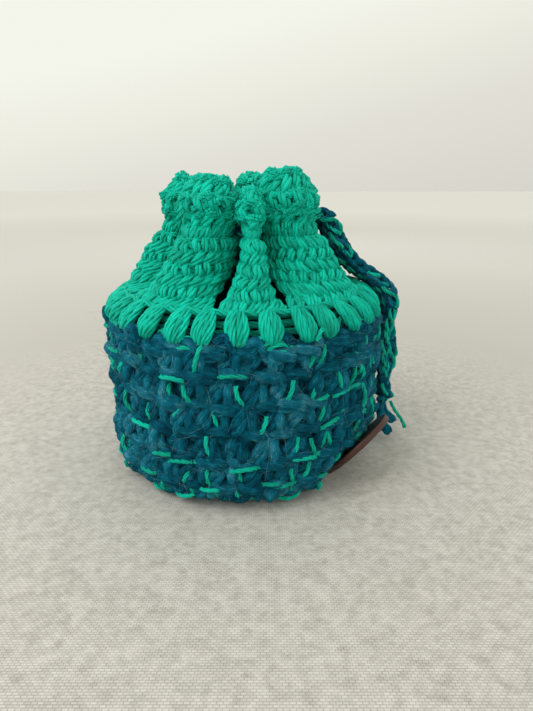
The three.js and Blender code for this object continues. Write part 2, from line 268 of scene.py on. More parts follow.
def spun(name, groups, yarn, material):
    """A mesh of yarn along lines. A group is (points, girth, tone) for like lines, in mm."""
    corners, edges, girths, tones = [], [], [], []
    before = 0
    thick = yarn["Ply Radius"] + yarn["Ply Spread"]
    for points, girth, tone in groups:
        lines, count, _ = points.shape
        # Nothing sags below the table the bag stands on
        points[..., 2] = np.maximum(points[..., 2], thick * np.broadcast_to(girth, (lines, count)))
        start = before + np.arange(lines)[:, None] * count + np.arange(count - 1)
        edges.append(np.stack([start, start + 1], -1).reshape(-1, 2))
        corners.append(points.reshape(-1, 3) * MM)
        girths.append(np.broadcast_to(girth, (lines, count)).ravel())
        tones.append(np.broadcast_to(np.asarray(tone)[:, None], (lines, count)).ravel())
        before += lines * count
    mesh = bpy.data.meshes.new(name)
    corners = np.concatenate(corners)
    edges = np.concatenate(edges)
    mesh.vertices.add(len(corners))
    mesh.vertices.foreach_set("co", corners.ravel())
    mesh.edges.add(len(edges))
    mesh.edges.foreach_set("vertices", edges.ravel().astype(np.int32))
    for label, values in (("girth", girths), ("tone", tones)):
        layer = mesh.attributes.new(label, "FLOAT", "POINT")
        layer.data.foreach_set("value", np.concatenate(values).astype(np.float32))
    piece = bpy.data.objects.new(name, mesh)
    bpy.context.scene.collection.objects.link(piece)
    modifier = piece.modifiers.new("yarn", "NODES")
    modifier.node_group = plied_yarn
    values = {**yarn, "Material": material}
    for item in plied_yarn.interface.items_tree:
        if item.in_out == "INPUT" and item.name in values:
            value = values[item.name]
            modifier[item.identifier] = value * MM if item.name.startswith("Ply ") else value
    sight = bpy.context.evaluated_depsgraph_get()
    piece.data = bpy.data.meshes.new_from_object(piece.evaluated_get(sight))
    piece.modifiers.clear()
    piece.data.name = name
    piece.data.shade_smooth()
    return piece


def joined(name, pieces):
    """The meshes as one piece."""
    first = pieces[0]
    with bpy.context.temp_override(active_object=first, selected_editable_objects=pieces):
        bpy.ops.object.join()
    first.name = name
    first.data.name = name
    return first


def strand_texture():
    """Fine fibres that run along a yarn: a streak value, and the height for a bump."""
    group = bpy.data.node_groups.new("strand_fibres", "ShaderNodeTree")
    for name in ("Along Scale", "Round Scale"):
        group.interface.new_socket(name, in_out="INPUT", socket_type="NodeSocketFloat")
    for name in ("Streak", "Tone"):
        group.interface.new_socket(name, in_out="OUTPUT", socket_type="NodeSocketFloat")
    given = place(group, "NodeGroupInput").outputs
    read = {name: place(group, "ShaderNodeAttribute", attribute_name=name).outputs["Fac"]
            for name in ("along", "round", "tone")}

    def calc(operation, *values):
        node = place(group, "ShaderNodeMath", dict(enumerate(values)), operation=operation)
        return node.outputs[0]

    angle = calc("MULTIPLY", read["round"], 2 * math.pi)
    lengthwise = calc("MULTIPLY", read["along"], given["Along Scale"])
    lengthwise = calc("MULTIPLY_ADD", read["tone"], 37.0, lengthwise)
    place_on = place(group, "ShaderNodeCombineXYZ", {
        "X": lengthwise,
        "Y": calc("MULTIPLY", calc("COSINE", angle), given["Round Scale"]),
        "Z": calc("MULTIPLY", calc("SINE", angle), given["Round Scale"]),
    })
    noise = place(group, "ShaderNodeTexNoise",
                  {"Vector": place_on.outputs[0], "Scale": 1.0, "Detail": 3.0, "Roughness": 0.6})
    place(group, "NodeGroupOutput", {"Streak": noise.outputs["Fac"], "Tone": read["tone"]})
    return group


strand_fibres = strand_texture()


def yarn_material(name, steps, along, around, bump, tone_share, **values):
    """A yarn's finish: colour steps over fibre streaks and each strand's tone, set low on fill
    yarns as painted shade.
    """
    material, shader = new_material(name, **values)
    tree = material.node_tree
    fibres = place(tree, "ShaderNodeGroup", node_tree=strand_fibres)
    fibres.inputs["Along Scale"].default_value = along
    fibres.inputs["Round Scale"].default_value = around
    patch = place(tree, "ShaderNodeTexNoise", {
        "Vector": place(tree, "ShaderNodeTexCoord").outputs["Object"], "Scale": 330, "Detail": 2,
    })
    blend = place(tree, "ShaderNodeMix", {0: tone_share, 2: fibres.outputs["Streak"],
                                          3: fibres.outputs["Tone"]})
    cloudy = place(tree, "ShaderNodeMix", {0: 0.3, 2: blend.outputs[0], 3: patch.outputs["Fac"]})
    tree.links.new(colour_steps(tree, cloudy.outputs[0], steps), shader.inputs["Base Color"])
    relief = place(tree, "ShaderNodeBump", {"Height": fibres.outputs["Streak"],
                                            "Strength": bump, "Distance": 0.0004})
    tree.links.new(relief.outputs["Normal"], shader.inputs["Normal"])
    return material


petrol_wool = yarn_material("petrol_wool", [
    (0.32, linear(0, 40, 54)), (0.45, linear(6, 84, 104)), (0.56, linear(22, 116, 140)),
    (0.7, linear(96, 160, 174)),
], 900.0, 7.0, 1.0, 0.2, Roughness=1.0, Specular_IOR_Level=0.08)
petrol_fluff = yarn_material("petrol_fluff", [
    (0.3, linear(30, 96, 114)), (0.7, linear(130, 172, 180)),
], 300.0, 1.0, 0.0, 0.8, Roughness=1.0, Specular_IOR_Level=0.08)
green_cotton = yarn_material("green_cotton", [
    (0.3, linear(0, 136, 112)), (0.5, linear(0, 184, 158)), (0.7, linear(6, 214, 186)),
], 500.0, 3.2, 0.7, 0.25, Roughness=0.65, Specular_IOR_Level=0.14)

EXIT_AZIMUTH = math.radians(98)
OUTWARD = np.array([math.sin(EXIT_AZIMUTH), -math.cos(EXIT_AZIMUTH), 0])
BACKWARD = np.array([math.cos(EXIT_AZIMUTH), math.sin(EXIT_AZIMUTH), 0])


def cord_route(points):
    """Places from (distance from the axis, offset towards the back, height), in mm."""
    points = np.asarray(points, float)
    return (points[:, :1] * OUTWARD + points[:, 1:2] * BACKWARD
            + points[:, 2:] * np.array([0, 0, 1]))


LEG_ROUTES = {
    "drawstring_leg_a": [
        [19, -2.4, 76], [22, -2.6, 76.6], [25, -2.9, 74.6], [27.8, -3.2, 70.6],
        [30.8, -3.4, 65.8], [34.8, -3.6, 61.4], [39.8, -3.8, 58], [44.4, -4, 54.4],
        [46.6, -4, 49.6], [46.2, -3.4, 44], [45.6, -3, 38], [45.6, -2.8, 32], [46, -2.6, 26],
        [46.8, -2.4, 21.4],
    ],
    "drawstring_leg_b": [
        [19, 2.4, 75.4], [22, 2.6, 75.8], [24.6, 2.9, 73.6], [27.2, 3, 69.4], [30.4, 3, 64.4],
        [34.6, 3, 60], [39.4, 2.8, 56.8], [44.2, 2.4, 52.4], [47, 2.2, 46.6], [48.6, 2.2, 40],
        [49.8, 2.2, 33.4], [50, 2.2, 27.2], [48.6, 2.4, 22],
    ],
}
LINK_PITCH = 3.9
LINK_FRONT = np.array([0.55, -0.8, 0.2])


def along_route(route, spacing):
    """Places a set distance apart on a smooth route, the directions there, and its length."""
    fine = smooth(route, 60 * len(route))
    steps = np.linalg.norm(np.diff(fine, axis=0), axis=1)
    run = np.concatenate([[0], np.cumsum(steps)])
    count = max(2, round(run[-1] / spacing) + 1)
    at = np.linspace(0, run[-1], count)
    places = np.stack([np.interp(at, run, fine[:, axis]) for axis in range(3)], -1)
    return places, unit(np.gradient(places, axis=0)), run[-1]


def chain_lines(route, front, pitch=LINK_PITCH, width=1.0):
    """A crocheted chain: each link is a V of two strands in front and a bump behind."""
    places, ways, _ = along_route(route, pitch)
    faces = unit(front - (ways @ front)[:, None] * ways)
    sides = np.cross(ways, faces)
    shapes = [
        [[-0.35, 0.1, -0.9], [-0.05, 0.9, -0.1], [0.35, 1.25, 0.55], [0.75, 0.8, 1.05],
         [1.05, 0.15, 0.5]],
        [[-0.35, -0.1, -0.9], [-0.05, -0.9, -0.1], [0.35, -1.25, 0.55], [0.75, -0.8, 1.05],
         [1.05, -0.15, 0.5]],
        [[0.2, -1.0, -0.6], [0.4, 0.0, -1.35], [0.6, 1.0, -0.6]],
    ]
    result = []
    for shape in shapes:
        shape = np.array(shape) * [pitch, width, width]
        points = (places[:, None] + ways[:, None] * shape[:, :1] + sides[:, None] * shape[:, 1:2]
                  + faces[:, None] * shape[:, 2:])
        result.append(smooth(points[:-1], 9))
    return result, faces


def chain_piece(name, route, front):
    """A length of the chain cord: its wool, and the cotton strand that shows beside it."""
    lines, faces = chain_lines(route, front)
    wool = [(line, 1.0, rng.random(len(line))) for line in lines]
    green = []
    for line in lines[:2]:
        picked = rng.random(len(line)) < 0.62
        picked[0] = True
        shown = line[picked]
        lift = unit(shown - shown.mean(axis=1, keepdims=True))
        lean = faces[0] * 0.75 + rng.normal(0, 0.35, (len(shown), 1, 3))
        green.append((shown + lean + 0.2 * lift, 1.0, rng.random(len(shown))))
    return joined(name, [spun(name, wool, CORD_WOOL, petrol_wool),
                         spun(name + "_cotton", green, THIN_COTTON, green_cotton)])


# Where a leg goes into the knot: distance from the axis, to one side, and height
KNOT_ENTRY = (48, 1.2, 17.2)
for leg_name, points in LEG_ROUTES.items():
    route = cord_route(points)
    away, aside, height = KNOT_ENTRY
    into_knot = cord_route([[away, math.copysign(aside, points[-1][1]), height]])
    route = np.concatenate([route, into_knot])
    leg = chain_piece(leg_name + "_chain", route, LINK_FRONT)
    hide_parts(leg_name)
    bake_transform(leg)

# ---- Knot and tails ----
# Both ends are tied together in one overhand knot. Below it the wool and the cotton
# strands part into short cut tails.

KNOT = {"radius": 48, "height": 16.4, "across": 3.1, "deep": 2.8, "tall": 2.4}
turn = np.linspace(0, 2 * math.pi, 60)
trefoil = np.stack([
    (np.sin(turn) + 2 * np.sin(2 * turn)) / 3 * KNOT["across"],
    (np.cos(turn) - 2 * np.cos(2 * turn)) / 3 * KNOT["tall"] * 1.15,
    -np.sin(3 * turn) * KNOT["deep"] * 0.55,
], -1)
knot_middle = cord_route([[KNOT["radius"], 0, KNOT["height"]]])[0]
up = np.array([0, 0, 1.0])
knot_line = knot_middle + trefoil @ np.stack([BACKWARD, up, OUTWARD])
knot = joined("overhand_knot", [
    spun("overhand_knot", [(knot_line[None], 1.15, [0.5])], CORD_WOOL, petrol_wool),
    spun("knot_cotton", [((knot_line + 0.9 * OUTWARD - 0.5 * up)[None], 1.1, [0.5])],
         THIN_COTTON, green_cotton),
])
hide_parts("drawstring_knot")
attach(knot, "knot")

TAIL_ROUTES = {
    "wool_tail_a": [[46.4, -2.4, 13.4], [46.6, -2.8, 8.6], [47.6, -3.4, 5], [50, -4, 2.6]],
    "wool_tail_b": [[48.4, 2, 13.4], [49.4, 2.8, 8.6], [51.6, 3.4, 5.2], [54.6, 3.6, 3.4]],
    "cotton_tail_a": [[50, -2, 13.6], [51.6, -2.8, 10.4], [53.8, -3.4, 7.4], [55.4, -4, 4.2]],
    "cotton_tail_b": [[45.1, 2.4, 13.8], [45, 3.2, 9.2], [45.2, 4.6, 5.8], [46, 6, 2.6]],
}
for tail_name, points in TAIL_ROUTES.items():
    line = smooth(cord_route(points), 16)[None]
    if tail_name.startswith("wool"):
        girth = np.interp(np.linspace(0, 1, 16), [0, 0.5, 0.9, 1], [0.9, 1.25, 1.3, 0.7])
        tail = spun(tail_name + "_yarn", [(line, girth * 0.72, [0.6])], WOOL, petrol_wool)
    else:
        frayed = np.interp(np.linspace(0, 1, 16), [0, 0.8, 1], [1, 1, 1.35])
        tail = spun(tail_name + "_yarn", [(line, frayed, [0.6])], THIN_COTTON, green_cotton)
    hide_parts(tail_name)
    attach(tail, "tails")


# ---- Wool body: base and wall rounds ----
# Bulky wool and a thin cotton strand are held together and worked in single crochet, from
# the middle of the base outwards and then up the wall. Every stitch shows two legs and the
# bar of its top loop. The cotton strand comes to the surface here and there.

wall_low, wall_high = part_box("wall_round_4")
BODY_RADIUS = (wall_high[0] - wall_low[0]) / 2 / MM
RIM_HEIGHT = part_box("wall_round_6")[1][2] / MM + 0.15
WALL_ROUNDS = 6
WOOL_ROUND = RIM_HEIGHT / WALL_ROUNDS
FOOT_RADIUS, TURN_HEIGHT, TURN_POWER, FOOT_SHIFT = 31.5, 19.9, 2.6, 2.6
RIM_CURL = 4.5
STITCHES = 31
HOOP_TURN = 362  # degrees of a closed ring of yarn, whose ends overlap


def wool_outline():
    """Run, radius and height from the middle of the base, up the wall and over the rim."""
    rise = np.linspace(0, 1, 80) ** 2
    curve = FOOT_RADIUS + (BODY_RADIUS - FOOT_RADIUS) * (
        1 - (1 - rise) ** TURN_POWER) ** (1 / TURN_POWER)
    bend = np.linspace(0, math.pi / 2, 12)[1:]
    straight = RIM_HEIGHT + 1.2 - RIM_CURL
    radius = np.concatenate([np.linspace(0, FOOT_RADIUS, 20)[:-1], curve, [BODY_RADIUS],
                             BODY_RADIUS - RIM_CURL * (1 - np.cos(bend))])
    height = np.concatenate([np.zeros(19), rise * TURN_HEIGHT, [straight],
                             straight + RIM_CURL * np.sin(bend)])
    run = np.concatenate([[0], np.cumsum(np.hypot(np.diff(radius), np.diff(height)))])
    return run - FOOT_RADIUS, radius, height


RUN, RADIUS_AT, HEIGHT_AT = wool_outline()
fine_run = np.linspace(RUN[0], RUN[-1], 400)
fine_radius = np.interp(fine_run, RUN, RADIUS_AT)
fine_height = np.interp(fine_run, RUN, HEIGHT_AT)
slope = unit(np.stack([np.gradient(fine_radius), np.gradient(fine_height)], -1))


def run_at(height):
    """How far along the outline the wall reaches a height."""
    wall = RUN >= 0
    return float(np.interp(height, HEIGHT_AT[wall], RUN[wall]))


def wool_point(azimuth, run, out):
    """A place at an azimuth in degrees, along the outline, and out from the surface."""
    radius = np.interp(run, fine_run, fine_radius) + out * np.interp(run, fine_run, slope[:, 1])
    height = np.interp(run, fine_run, fine_height) - out * np.interp(run, fine_run, slope[:, 0])
    angle = np.radians(azimuth)
    shift = -FOOT_SHIFT * (1 - np.clip(height / TURN_HEIGHT, 0, 1)) ** 2
    return np.stack([radius * np.sin(angle) + shift, -radius * np.cos(angle), height], -1)


# The button lies against the right of the foot, facing out and down.
BUTTON = {"azimuth": 61, "radius": 39.3, "height": 10.3, "tilt": 40}
BUTTON_RADIUS, BUTTON_THICKNESS = 12.5, 1.8
aim_side, tilt = math.radians(BUTTON["azimuth"]), math.radians(BUTTON["tilt"])
sideways = np.array([math.sin(aim_side), -math.cos(aim_side), 0])
button_way = math.cos(tilt) * sideways - math.sin(tilt) * up
button_middle = BUTTON["radius"] * sideways + BUTTON["height"] * up
seat_limit = button_middle @ button_way - BUTTON_THICKNESS / 2 - 0.3


def pressed(points, girth):
    """Yarn under the button is pushed back level, until it is clear of the button's back."""
    beside = points - button_middle
    across = np.linalg.norm(beside - (beside @ button_way)[..., None] * button_way, axis=-1)
    near = np.clip((BUTTON_RADIUS + 5 - across) / 4, 0, 1)
    beyond = np.maximum(0, points @ button_way - seat_limit + girth) * near
    return points - beyond[..., None] * sideways / math.cos(tilt)


# Along the stitch in widths, up it in rows, and out from the surface in millimetres
LEFT_LEG = [[0.0, -0.1, -5.2], [-0.1, 0.1, -3.2], [-0.22, 0.4, -1.9], [-0.28, 0.72, -2.6],
            [-0.2, 0.98, -4.8]]
RIGHT_LEG = [[0.12, -0.1, -5.2], [0.22, 0.08, -3.2], [0.32, 0.4, -1.9], [0.42, 0.72, -2.6],
             [0.5, 0.98, -4.8]]
TOP_BAR = [[-0.66, 0.8, -4.8], [-0.36, 0.92, -2.2], [0.0, 1.02, -1.3], [0.34, 0.98, -2.0],
           [0.6, 0.86, -4.6]]
# The last round's top loops lie along the rim as a braid, and hump up between the puffs
BRAID = ([[-0.6, 0.9, -4.4], [-0.25, 1.1, -1.8], [0.15, 1.15, -1.3], [0.55, 0.95, -4.0]],
         [[-0.55, 0.94, -4.2], [-0.2, 0.72, -1.7], [0.22, 0.76, -1.3], [0.58, 1.0, -4.0]],
         [[-0.12, 0.95, -4.0], [0.08, 1.1, -0.6], [0.27, 1.18, 0.6], [0.46, 1.1, -0.6],
          [0.66, 0.95, -4.0]])


SET_IN = 0.8
LINE_POINTS = 11


def worked(low, high, count, start, shape, loose, out=0.0, side=0.0):
    """Lines of one kind for a round of stitches, with hand-made unevenness."""
    column = np.arange(count)[:, None]
    shape = np.array(shape)
    sway = rng.normal(0, 1, (count, 3))
    along = column + start + shape[:, 0] + side + 0.06 * loose * sway[:, :1]
    level = low + (high - low) * (shape[:, 1] + 0.05 * loose * sway[:, 1:2])
    proud = shape[:, 2] + out - SET_IN + 0.35 * loose * sway[:, 2:]
    middle = (np.arange(len(shape)) - (len(shape) - 1) / 2) / len(shape)
    level = level + rng.normal(0, 0.12 * loose, (count, 1)) * middle * (high - low)
    points = wool_point(along * 360 / count, level, np.broadcast_to(proud, along.shape))
    return smooth(points, LINE_POINTS)


YARN_SKIN = 1.95


def fluff(groups, per_line, reach):
    """Loose wool fibres that stand off the yarn, each a slightly curled line."""
    fibres = []
    for points, _, _ in groups:
        lines, count, _ = points.shape
        if lines == 1:
            continue
        pick = np.repeat(np.arange(lines), per_line)
        spot = rng.integers(1, count - 1, len(pick))
        way = unit(points[pick, spot + 1] - points[pick, spot - 1])
        off = rng.normal(0, 1, (len(pick), 3))
        off = unit(off - np.sum(off * way, -1, keepdims=True) * way)
        root = points[pick, spot] + off * YARN_SKIN
        heading = unit(way * rng.choice([-1, 1], (len(pick), 1)) + off * 0.15
                       + rng.normal(0, 0.3, (len(pick), 3)))
        bend = rng.normal(0, 0.5, (len(pick), 3)) + off * 0.12
        length = rng.gamma(4, reach / 4, (len(pick), 1))
        share = np.linspace(0, 1, 4)[None, :, None]
        line = (root[:, None] + heading[:, None] * share * length[:, None]
                + bend[:, None] * share**2 * length[:, None] * 0.5)
        line[..., 2] = np.maximum(line[..., 2], 0.05)
        fibres.append(line)
    fibres = np.concatenate(fibres)
    return [(fibres, np.linspace(1, 0.6, 4), rng.random(len(fibres)))]


def cotton_share(azimuth, height):
    """How often the cotton strand surfaces: most on the right and low down."""
    right = 0.5 + 0.5 * np.sin(np.radians(azimuth))
    return 0.28 + 0.22 * right + 0.22 * np.clip(1 - height / 35, 0, 1)


FULL_ROW = 7.2
WOOL_GIRTH = 1.17
WOOL_TAPER = np.interp(np.linspace(0, 1, LINE_POINTS), [0, 0.3, 0.7, 1], [0.8, 1, 1, 0.8])
HAIR_LENGTH = 3.2
# The cotton strand lies to one side of the wool, in widths, and on top of it
STRAND_SIDES = (-0.16, 0.13)
STRAND_OUT = 1.7
SHOWN_PART = slice(2, 9)
SHOWN_SHARE = 0.62
# Level yarns behind each row of stitches close the fabric
BACKING_LEVELS = (0.25, 0.75)
BACKING_DEPTH, BACKING_GIRTH = 5.2, 1.3


def wool_rows(name, rows, hairs, braid=()):
    """One crocheted round as a piece. A row is (low, high, stitches, start)."""
    wool, green = [], []
    for low, high, count, start in rows:
        size = min(1.0, (high - low) / FULL_ROW)
        for shape in (LEFT_LEG, RIGHT_LEG, TOP_BAR, *braid):
            lines = worked(low, high, count, start, shape, 1.5)
            girth = WOOL_GIRTH * size * rng.uniform(0.9, 1.08, (count, 1)) * WOOL_TAPER
            wool.append((pressed(lines, 2.0), girth, rng.random(count)))
            for side in STRAND_SIDES:
                strand = worked(low, high, count, start, shape, 1.8, out=STRAND_OUT, side=side)
                strand = strand[:, SHOWN_PART]
                middle = strand[:, 3]
                azimuth = np.degrees(np.arctan2(middle[:, 0], -middle[:, 1]))
                shown = rng.random(count) < SHOWN_SHARE * cotton_share(azimuth, middle[:, 2])
                if shown.any():
                    green.append((pressed(strand[shown], 1.0), 1.0, rng.random(shown.sum())))
        ring = np.linspace(0, 1, 3 * count + 1)
        for level in BACKING_LEVELS:
            wander = 0.5 * np.sin(2 * math.pi * ring * count)
            backing = wool_point(ring * HOOP_TURN, low + (high - low) * level + wander,
                                 -BACKING_DEPTH * size + wander)
            # The backing yarns get a low tone, 0.1, which darkens them: painted shade in the
            # depths of the fabric
            wool.append((pressed(backing, 3.0)[None], BACKING_GIRTH * size, [0.1]))
    parts = [spun(name, wool, WOOL, petrol_wool)]
    hair = fluff(wool, hairs // len(rows), HAIR_LENGTH)
    parts.append(spun(name + "_fluff", hair, FIBRE, petrol_fluff))
    if green:
        parts.append(spun(name + "_cotton", green, THIN_COTTON, green_cotton))
    return joined(name, parts)


BASE_CENTRE = 6
BASE_ROUNDS = 5
base_width = (FOOT_RADIUS - BASE_CENTRE) / (BASE_ROUNDS - 1)
first_wall = run_at(WOOL_ROUND)
fabric_rounds = {"base_centre": [(-FOOT_RADIUS + 1.2, -FOOT_RADIUS + BASE_CENTRE, 6, 0)]}
for number in range(2, BASE_ROUNDS + 1):
    inner = BASE_CENTRE + (number - 2) * base_width - FOOT_RADIUS
    fabric_rounds[f"base_round_{number}"] = [(inner, inner + base_width, 6 * number, 0.3 * number)]
fabric_rounds["wall_round_1"] = [(0, first_wall / 2, STITCHES, 0.1),
                                 (first_wall / 2, first_wall, STITCHES, 0.45)]
for number in range(2, WALL_ROUNDS + 1):
    low, high = run_at((number - 1) * WOOL_ROUND), run_at(number * WOOL_ROUND)
    fabric_rounds[f"wall_round_{number}"] = [(low, high, STITCHES, 0.45 + 0.3 * number)]
BASE_HAIRS, RIM_HAIRS, WALL_HAIRS = 6, 12, 26
for node, rows in fabric_rounds.items():
    last = node == f"wall_round_{WALL_ROUNDS}"
    hairs = BASE_HAIRS if node.startswith("base") else RIM_HAIRS if last else WALL_HAIRS
    round_piece = wool_rows(node + "_fabric", rows, hairs, BRAID if last else ())
    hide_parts(node)
    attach(round_piece, "bag")

# ---- Puff stitches ----
# Long loops of cotton, drawn up together from the last wool round and closed at the top.
# Each shows four strands side by side, widest low down, that dip into the wool.

PUFF_COUNT = 31
# Spread of the strands, distance from the axis and height, from the closed top down
PUFF_LINE = np.array([[0.3, 34.2, 55.6], [0.55, 36.0, 55.4], [0.98, 38.6, 54.0],
                      [1.1, 40.6, 51.8], [0.66, 41.0, 49.6], [0.12, 39.4, 47.8]])
STRANDS_ACROSS = (-1.9, -0.66, 0.66, 1.9)


def puff_lines():
    """The strands of every puff stitch, leaning with the pull of the gathered neck."""
    spread, distance, height = PUFF_LINE.T
    azimuth = (np.arange(PUFF_COUNT) + 0.02) * 360 / PUFF_COUNT + rng.normal(0, 0.7, PUFF_COUNT)
    lean = 2.6 * np.sin(np.radians(azimuth)) + rng.normal(0, 0.35, PUFF_COUNT)
    lines = []
    for across in STRANDS_ACROSS:
        aside = across * spread + lean[:, None] * (height[0] - height) / 9
        aside = aside + rng.normal(0, 0.15, (PUFF_COUNT, 1))
        radius = distance - 0.16 * across**2 + rng.normal(0, 0.15, (PUFF_COUNT, 1))
        angle = np.radians(azimuth[:, None]) + aside / radius
        level = np.broadcast_to(height, angle.shape)
        lines.append(np.stack([radius * np.sin(angle), -radius * np.cos(angle), level], -1))
    return smooth(np.concatenate(lines), 12)


def hoop(radius, height, wave=0.0):
    """A strand right round the bag, whose ends overlap."""
    turn = np.radians(np.linspace(0, HOOP_TURN, 150))
    return np.stack([radius * np.sin(turn), -radius * np.cos(turn),
                     height + wave * np.sin(turn * PUFF_COUNT)], -1)


puffs = puff_lines()
closing = hoop(35.2, 55.3, 0.35)
inner_wall = np.stack([hoop(36.0, 50.2), hoop(34.8, 52.2), hoop(33.6, 54.2)])
puff_girth = np.interp(np.linspace(0, 1, 12), [0, 0.3, 0.8, 1], [0.75, 1.0, 1.05, 0.8])
puff_piece = spun("puff_stitches", [
    (puffs, puff_girth, rng.random(len(puffs))),
    (closing[None], 1.0, [0.5]),
    # The hoops inside the puffs get a low tone, 0.1, which darkens them: painted shade inside the
    # puff stitches
    (inner_wall, 1.1, [0.1, 0.1, 0.1]),
], COTTON, green_cotton)
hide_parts("puff_stitch_round")
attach(puff_piece, "bag")

# ---- Collar, eyelets and ruffle ----
# Fine cotton in dense single crochet, gathered into seven pleats. A round of tall stitches
# leaves the eyelets for the drawstring, and looser rounds above it make the ruffle.

GAP = 0.3
LOBE_POWER = 0.45
FRONT_VALLEY = -6
PLEATS = [
    {"from": -64, "to": FRONT_VALLEY, "deep": (8, 9), "top": 87.5},
    {"from": FRONT_VALLEY, "to": 22, "deep": (9, 9), "top": 84.5, "powers": (0.3, 0.3)},
    {"from": 22, "to": 98, "deep": (9, 9), "top": 89.3, "powers": (LOBE_POWER, 1.3)},
    {"from": 98, "to": 146, "deep": (9, 8), "top": 87, "powers": (1.8, LOBE_POWER)},
    {"from": 146, "to": 196, "deep": (8, 8), "top": 88},
    {"from": 196, "to": 246, "deep": (8, 8), "top": 86.5},
    {"from": 246, "to": 296, "deep": (8, 8), "top": 87.5},
]
COLLAR_BASE, NECK_BASE, NECK_TOP = 55, 71, 76
CREST = np.array([[55, 35.6], [60, 32.6], [66, 29], [71, 25.4], [76, 22.8], [81, 23], [90, 19.5]])
UNFOLDED = np.array([[55, 0.97], [58, 0.62], [63, 0.2], [71, 0.03], [76, 0], [90, 0.1]])
# Degrees that a pleat's edge stands back from its neighbour, by height, and that the
# valley at the left of the front pleat leans over
SLOT = np.array([[55, 0.8], [58, 3.2], [67, 4.2], [71, 3.4], [75, 0.3], [90, 0.0]])
LEAN = np.array([[55, -4.0], [58, -3.4], [67, 3.0], [90, 3.0]])
COTTON_WIDTH = 2.8
COLLAR_ROWS = 6
RUFFLE_ROWS = 3


def pleat_outside(pleat, share, height):
    """The outside of a pleat, share of the way from one valley to the next."""
    share, height = np.broadcast_arrays(np.clip(share, 0, 1), height)
    power = np.where(share < 0.5, *pleat.get("powers", (LOBE_POWER, LOBE_POWER)))
    swell = np.sin(np.pi * share) ** power
    deep = pleat["deep"][0] + (pleat["deep"][1] - pleat["deep"][0]) * share
    crest = np.interp(height, *CREST.T)
    valley = deep + (crest - deep) * np.interp(height, *UNFOLDED.T)
    radius = valley + (crest - valley) * swell
    slot, lean = np.interp(height, *SLOT.T), np.interp(height, *LEAN.T)
    start = pleat["from"] + slot + lean * (pleat["from"] == FRONT_VALLEY)
    end = pleat["to"] - slot + lean * (pleat["to"] == FRONT_VALLEY)
    azimuth = np.radians(start + (end - start) * share)
    middle = math.radians((pleat["from"] + pleat["to"]) / 2)
    aside = GAP * np.cos(np.pi * share)
    return np.stack([radius * np.sin(azimuth) + math.cos(middle) * aside,
                     -radius * np.cos(azimuth) + math.sin(middle) * aside, height], -1)


def even_shares(pleat):
    """Where even steps along the fabric fall on a pleat, for a table of heights."""
    heights = np.linspace(COLLAR_BASE - 1, 90, 40)
    shares = (1 - np.cos(np.linspace(0, np.pi, 241))) / 2
    steps = np.linspace(0, 1, 121)
    table, lengths = [], []
    for height in heights:
        points = pleat_outside(pleat, shares, np.full(len(shares), height))
        run = np.concatenate([[0], np.cumsum(np.linalg.norm(np.diff(points, axis=0), axis=1))])
        table.append(np.interp(steps, run / run[-1], shares))
        lengths.append(run[-1])
    return heights, np.array(table), np.array(lengths)


def pleat_point(pleat, evenly, step, height, out):
    """A place an even share along the fabric, at a height, out from the outside."""
    heights, table, _ = evenly
    step, height, out = np.broadcast_arrays(step, height, out)
    row = np.clip((height - heights[0]) / (heights[1] - heights[0]), 0, len(heights) - 1.001)
    column = np.clip(step, 0, 1) * (table.shape[1] - 1)
    column = np.clip(column, 0, table.shape[1] - 1.001)
    r, c = row.astype(int), column.astype(int)
    fr, fc = row - r, column - c
    share = ((table[r, c] * (1 - fc) + table[r, c + 1] * fc) * (1 - fr)
             + (table[r + 1, c] * (1 - fc) + table[r + 1, c + 1] * fc) * fr)
    inside = np.clip(share, 0.003, 0.997)
    along = unit(pleat_outside(pleat, inside + 0.002, height)
                 - pleat_outside(pleat, inside - 0.002, height))
    outward = np.stack([along[..., 1], -along[..., 0], np.zeros_like(share)], -1)
    return pleat_outside(pleat, share, height) + outward * out[..., None]


COTTON_LEG = [[-0.32, -0.22, -2.5], [-0.24, 0.1, -0.7], [0.0, 0.5, -0.1], [0.24, 0.9, -0.7],
              [0.32, 1.22, -2.5]]
COTTON_BAR = [[-0.62, 0.92, -2.6], [-0.22, 1.02, -1.2], [0.22, 0.98, -1.2], [0.62, 1.06, -2.6]]
LEG_GIRTH = np.interp(np.linspace(0, 1, 7), [0, 0.25, 0.5, 0.75, 1], [0.75, 1.0, 1.15, 1.0, 0.75])


